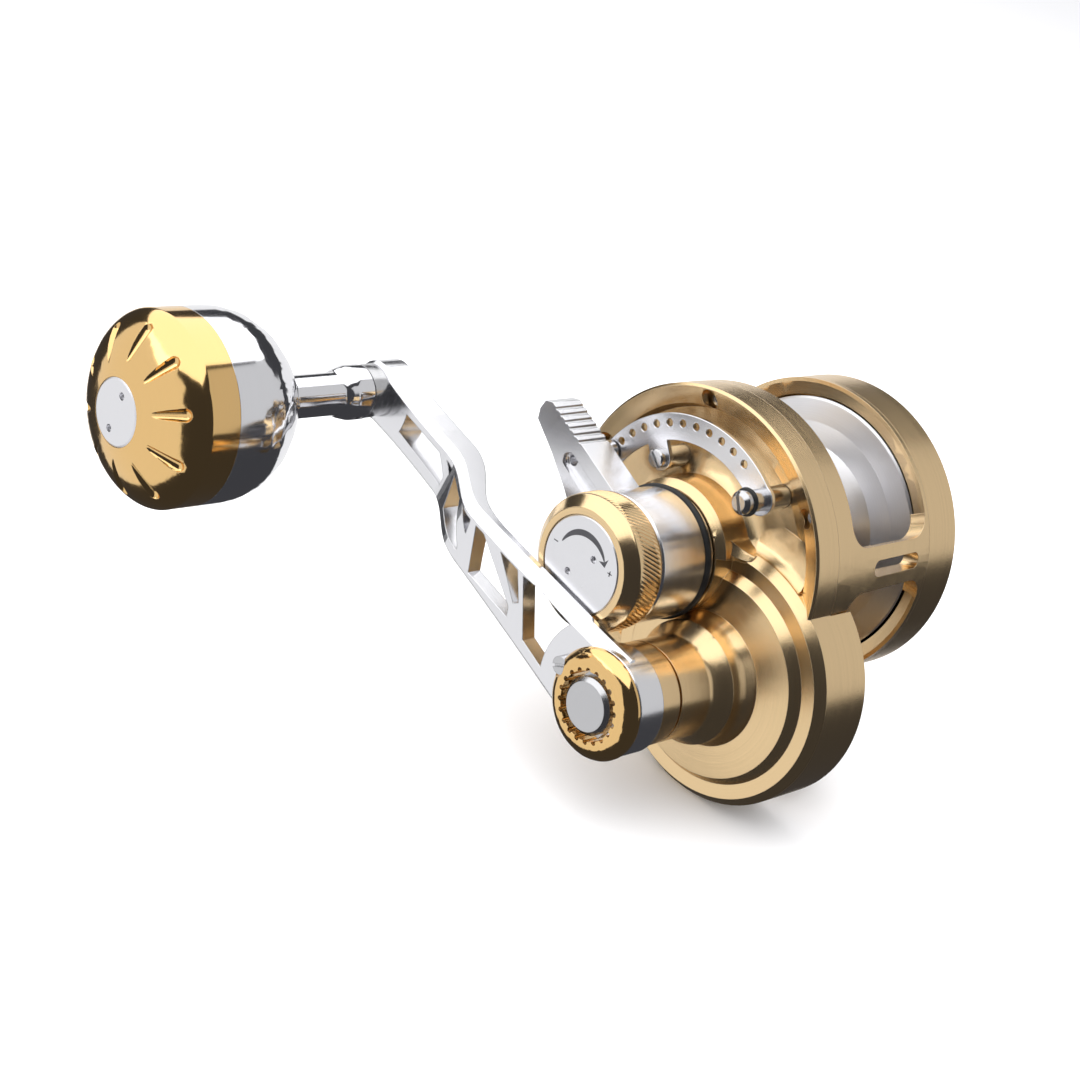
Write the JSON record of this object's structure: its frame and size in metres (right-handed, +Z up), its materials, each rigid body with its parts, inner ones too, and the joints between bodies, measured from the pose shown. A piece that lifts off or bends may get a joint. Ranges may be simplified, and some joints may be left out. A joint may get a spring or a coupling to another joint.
{
  "type": "trolling reel",
  "caption": "Lever-drag overhead trolling reel: one-piece frame, spool, offset gear case, drag lever on a holed quadrant, cut-out crank arm and round power knob.",
  "frame": {"origin": "middle of the foot's flat underside, where it rests on the rod's reel seat", "axes": "+X along the spool axis to the handle side, +Y towards the rod tip, +Z up away from the rod"},
  "size_m": [0.1391, 0.1296, 0.0775],
  "materials": {
    "gold_anodise": "turned and gold anodised, satin",
    "polished_gold": "polished and gold anodised",
    "silver_aluminium": "fine satin, clear anodised",
    "stainless": "turned stainless",
    "gear_brass": "machined",
    "black_rubber": "matt",
    "drag_carbon": "woven carbon friction material"
  },
  "bodies": {
    "frame_body": {"frame": "gold_anodise", "left_side_plate": "gold_anodise", "left_hub_cap": "silver_aluminium", "left_plate_screws": "stainless", "shaft_bush": "gear_brass", "reel_foot": "gold_anodise", "foot_screws": "stainless", "right_side_plate": "gold_anodise", "right_plate_screws": "stainless", "gear_case_back": "gold_anodise", "case_back_screws": "stainless", "quadrant_plate": "silver_aluminium", "quadrant_screw": "stainless", "quadrant_standoffs": "stainless", "stop_post": "silver_aluminium", "stop_post_oring": "black_rubber", "pinion_bearing": "stainless", "pinion_bush": "gear_brass", "rear_shaft_bush": "gear_brass", "roller_clutch": "stainless", "shaft_bearing": "stainless", "pawl_pivot": "stainless"},
    "lever": {"drag_lever": "silver_aluminium", "drum_oring": "black_rubber", "lever_cam": "stainless", "detent_ball": "stainless", "detent_spring": "stainless"},
    "shaft": {"spool_shaft": "stainless", "shaft_key_pin": "stainless", "release_springs": "stainless"},
    "preset": {"preset_knob": "gold_anodise", "preset_cap": "silver_aluminium", "preset_click_ring": "stainless"},
    "spool_body": {"spool": "silver_aluminium", "left_spool_bearing": "stainless", "right_spool_bearing": "stainless", "click_ratchet": "gear_brass", "drag_washer": "drag_carbon"},
    "pinion_body": {"pinion": "gear_brass", "drive_plate": "stainless"},
    "handle": {"drive_gear": "gear_brass", "handle_shaft": "stainless", "anti_reverse_ratchet": "stainless", "boss_collar": "gold_anodise", "crank_arm": "silver_aluminium", "handle_nut": "polished_gold", "nut_lock_screw": "stainless", "knob_post": "stainless", "post_nut": "silver_aluminium", "knob_washers": "stainless"},
    "pawl_body": {"pawl": "stainless"},
    "clicker": {"clicker_button": "silver_aluminium", "clicker_tongue": "stainless"},
    "knob": {"inner_knob_bearing": "stainless", "outer_knob_bearing": "stainless", "knob_rear_shell": "silver_aluminium", "knob_front_shell": "polished_gold", "knob_cap": "silver_aluminium"}
  },
  "joints": [
    {"name": "handle_turn", "type": "hinge", "parent": "frame_body", "child": "handle", "pos_m": [0.052, 0.01639, 0.01747], "axis": [1, 0, 0], "continuous": true},
    {"name": "knob_spin", "type": "hinge", "parent": "handle", "child": "knob", "pos_m": [0.086, -0.06821, 0.04039], "axis": [1, 0, 0], "continuous": true},
    {"name": "pinion_spin", "type": "hinge", "parent": "frame_body", "child": "pinion_body", "pos_m": [0.022, 0, 0.037], "axis": [1, 0, 0], "continuous": true},
    {"name": "drag_lever_swing", "type": "hinge", "parent": "frame_body", "child": "lever", "pos_m": [0.038, 0, 0.037], "axis": [1, 0, 0], "range_deg": [-91, 7.9]},
    {"name": "shaft_shift", "type": "slide", "parent": "frame_body", "child": "shaft", "axis": [1, 0, 0], "range_m": [-0.0000477, 0.00055]},
    {"name": "spool_spin", "type": "hinge", "parent": "shaft", "child": "spool_body", "pos_m": [0, 0, 0.037], "axis": [1, 0, 0], "continuous": true},
    {"name": "preset_turn", "type": "hinge", "parent": "shaft", "child": "preset", "pos_m": [0.05, 0, 0.037], "axis": [1, 0, 0], "range_deg": [-150, 150]},
    {"name": "pawl_swing", "type": "hinge", "parent": "frame_body", "child": "pawl_body", "pos_m": [0.0256, 0.01389, 0.03165], "axis": [1, 0, 0], "range_deg": [-10, 2]},
    {"name": "clicker_slide", "type": "slide", "parent": "frame_body", "child": "clicker", "axis": [0, -0.342, -0.9397], "range_m": [0, 0.0007]}
  ],
  "couplings": [
    {"joint": "pinion_spin", "follows": "handle_turn", "ratio": -5.8},
    {"joint": "spool_spin", "follows": "handle_turn", "ratio": -5.8},
    {"joint": "drag_lever_swing", "follows": "shaft_shift", "rad_per_m": -2887.7}
  ]
}
